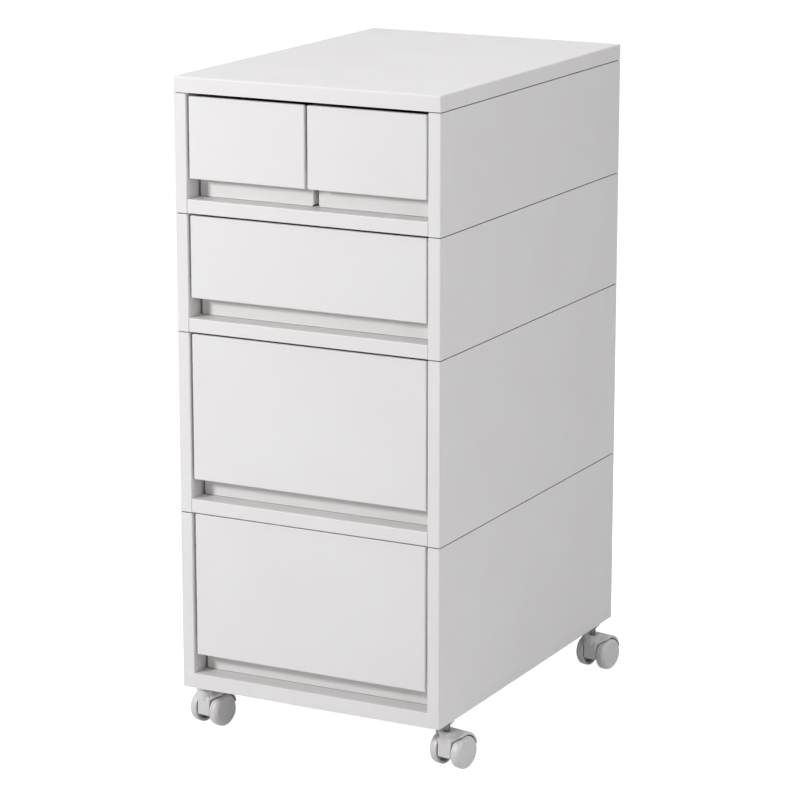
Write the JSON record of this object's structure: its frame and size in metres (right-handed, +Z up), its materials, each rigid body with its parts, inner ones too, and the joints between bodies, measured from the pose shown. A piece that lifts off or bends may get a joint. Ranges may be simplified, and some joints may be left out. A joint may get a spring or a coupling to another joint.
{
  "type": "multi-drawer cabinet",
  "caption": "Slim off-white plastic drawer cabinet of stacked tiers, with small, shallow and deep drawers opened by finger slots, standing on twin-wheel castors.",
  "frame": {"origin": "on the floor, under the middle of the cabinet's footprint", "axes": "+Z up, drawers open towards -Y, +X to the right of someone facing the drawers"},
  "size_m": [0.2834, 0.37, 0.601],
  "materials": {
    "cabinet_panel": "fine matt moulded off-white",
    "drawer_front": "fine matt moulded off-white",
    "drawer_bin": "fine matt moulded off-white",
    "peg_plastic": "plain moulded off-white",
    "castor_hood": "satin light grey",
    "castor_wheel": "satin light grey",
    "castor_steel": "plain turned steel"
  },
  "bodies": {
    "cabinet": {"top_board": "cabinet_panel", "pegs_under_top": "peg_plastic", "tier1_divider": "cabinet_panel", "base_panel": "cabinet_panel", "pegs_over_base": "peg_plastic", "castor_sockets": "castor_hood", "tier1_left_side": "cabinet_panel", "tier1_right_side": "cabinet_panel", "tier1_back": "cabinet_panel", "tier1_stops": "peg_plastic", "tier1_floor": "cabinet_panel", "pegs_under_tier1": "peg_plastic", "tier2_left_side": "cabinet_panel", "tier2_right_side": "cabinet_panel", "tier2_back": "cabinet_panel", "tier2_stops": "peg_plastic", "tier2_floor": "cabinet_panel", "pegs_under_tier2": "peg_plastic", "tier3_left_side": "cabinet_panel", "tier3_right_side": "cabinet_panel", "tier3_back": "cabinet_panel", "tier3_stops": "peg_plastic", "tier3_floor": "cabinet_panel", "pegs_under_tier3": "peg_plastic", "tier4_left_side": "cabinet_panel", "tier4_right_side": "cabinet_panel", "tier4_back": "cabinet_panel", "tier4_stops": "peg_plastic", "castor_front_left_stem": "castor_steel", "castor_front_right_stem": "castor_steel", "castor_rear_left_stem": "castor_steel", "castor_rear_right_stem": "castor_steel"},
    "small_left_drawer": {"small_left_bin": "drawer_bin", "small_left_front": "drawer_front"},
    "small_right_drawer": {"small_right_bin": "drawer_bin", "small_right_front": "drawer_front"},
    "shallow_drawer": {"shallow_bin": "drawer_bin", "shallow_front": "drawer_front"},
    "upper_deep_drawer": {"upper_deep_bin": "drawer_bin", "upper_deep_front": "drawer_front"},
    "lower_deep_drawer": {"lower_deep_bin": "drawer_bin", "lower_deep_front": "drawer_front"},
    "castor_front_left": {"castor_front_left_hood": "castor_hood", "castor_front_left_axle": "castor_steel"},
    "castor_front_left_wheel_left": {"castor_front_left_wheel_left": "castor_wheel"},
    "castor_front_left_wheel_right": {"castor_front_left_wheel_right": "castor_wheel"},
    "castor_front_right": {"castor_front_right_hood": "castor_hood", "castor_front_right_axle": "castor_steel"},
    "castor_front_right_wheel_left": {"castor_front_right_wheel_left": "castor_wheel"},
    "castor_front_right_wheel_right": {"castor_front_right_wheel_right": "castor_wheel"},
    "castor_rear_left": {"castor_rear_left_hood": "castor_hood", "castor_rear_left_axle": "castor_steel"},
    "castor_rear_left_wheel_left": {"castor_rear_left_wheel_left": "castor_wheel"},
    "castor_rear_left_wheel_right": {"castor_rear_left_wheel_right": "castor_wheel"},
    "castor_rear_right": {"castor_rear_right_hood": "castor_hood", "castor_rear_right_axle": "castor_steel"},
    "castor_rear_right_wheel_left": {"castor_rear_right_wheel_left": "castor_wheel"},
    "castor_rear_right_wheel_right": {"castor_rear_right_wheel_right": "castor_wheel"}
  },
  "joints": [
    {"name": "small_left_slide", "type": "slide", "parent": "cabinet", "child": "small_left_drawer", "axis": [0, -1, 0], "range_m": [0, 0.275]},
    {"name": "small_right_slide", "type": "slide", "parent": "cabinet", "child": "small_right_drawer", "axis": [0, -1, 0], "range_m": [0, 0.275]},
    {"name": "shallow_slide", "type": "slide", "parent": "cabinet", "child": "shallow_drawer", "axis": [0, -1, 0], "range_m": [0, 0.275]},
    {"name": "upper_deep_slide", "type": "slide", "parent": "cabinet", "child": "upper_deep_drawer", "axis": [0, -1, 0], "range_m": [0, 0.275]},
    {"name": "lower_deep_slide", "type": "slide", "parent": "cabinet", "child": "lower_deep_drawer", "axis": [0, -1, 0], "range_m": [0, 0.275]},
    {"name": "castor_front_left_swivel", "type": "hinge", "parent": "cabinet", "child": "castor_front_left", "pos_m": [-0.123, -0.156, 0.03], "axis": [0, 0, 1], "continuous": true},
    {"name": "castor_front_left_wheel_left_spin", "type": "hinge", "parent": "castor_front_left", "child": "castor_front_left_wheel_left", "pos_m": [-0.12132, -0.14695, 0.015], "axis": [0.9833, -0.1822, 0], "continuous": true},
    {"name": "castor_front_left_wheel_right_spin", "type": "hinge", "parent": "castor_front_left", "child": "castor_front_left_wheel_right", "pos_m": [-0.12132, -0.14695, 0.015], "axis": [0.9833, -0.1822, 0], "continuous": true},
    {"name": "castor_front_right_swivel", "type": "hinge", "parent": "cabinet", "child": "castor_front_right", "pos_m": [0.123, -0.156, 0.03], "axis": [0, 0, 1], "continuous": true},
    {"name": "castor_front_right_wheel_left_spin", "type": "hinge", "parent": "castor_front_right", "child": "castor_front_right_wheel_left", "pos_m": [0.12468, -0.14695, 0.015], "axis": [0.9833, -0.1822, 0], "continuous": true},
    {"name": "castor_front_right_wheel_right_spin", "type": "hinge", "parent": "castor_front_right", "child": "castor_front_right_wheel_right", "pos_m": [0.12468, -0.14695, 0.015], "axis": [0.9833, -0.1822, 0], "continuous": true},
    {"name": "castor_rear_left_swivel", "type": "hinge", "parent": "cabinet", "child": "castor_rear_left", "pos_m": [-0.123, 0.156, 0.03], "axis": [0, 0, 1], "continuous": true},
    {"name": "castor_rear_left_wheel_left_spin", "type": "hinge", "parent": "castor_rear_left", "child": "castor_rear_left_wheel_left", "pos_m": [-0.12132, 0.16505, 0.015], "axis": [0.9833, -0.1822, 0], "continuous": true},
    {"name": "castor_rear_left_wheel_right_spin", "type": "hinge", "parent": "castor_rear_left", "child": "castor_rear_left_wheel_right", "pos_m": [-0.12132, 0.16505, 0.015], "axis": [0.9833, -0.1822, 0], "continuous": true},
    {"name": "castor_rear_right_swivel", "type": "hinge", "parent": "cabinet", "child": "castor_rear_right", "pos_m": [0.123, 0.156, 0.03], "axis": [0, 0, 1], "continuous": true},
    {"name": "castor_rear_right_wheel_left_spin", "type": "hinge", "parent": "castor_rear_right", "child": "castor_rear_right_wheel_left", "pos_m": [0.12468, 0.16505, 0.015], "axis": [0.9833, -0.1822, 0], "continuous": true},
    {"name": "castor_rear_right_wheel_right_spin", "type": "hinge", "parent": "castor_rear_right", "child": "castor_rear_right_wheel_right", "pos_m": [0.12468, 0.16505, 0.015], "axis": [0.9833, -0.1822, 0], "continuous": true}
  ]
}
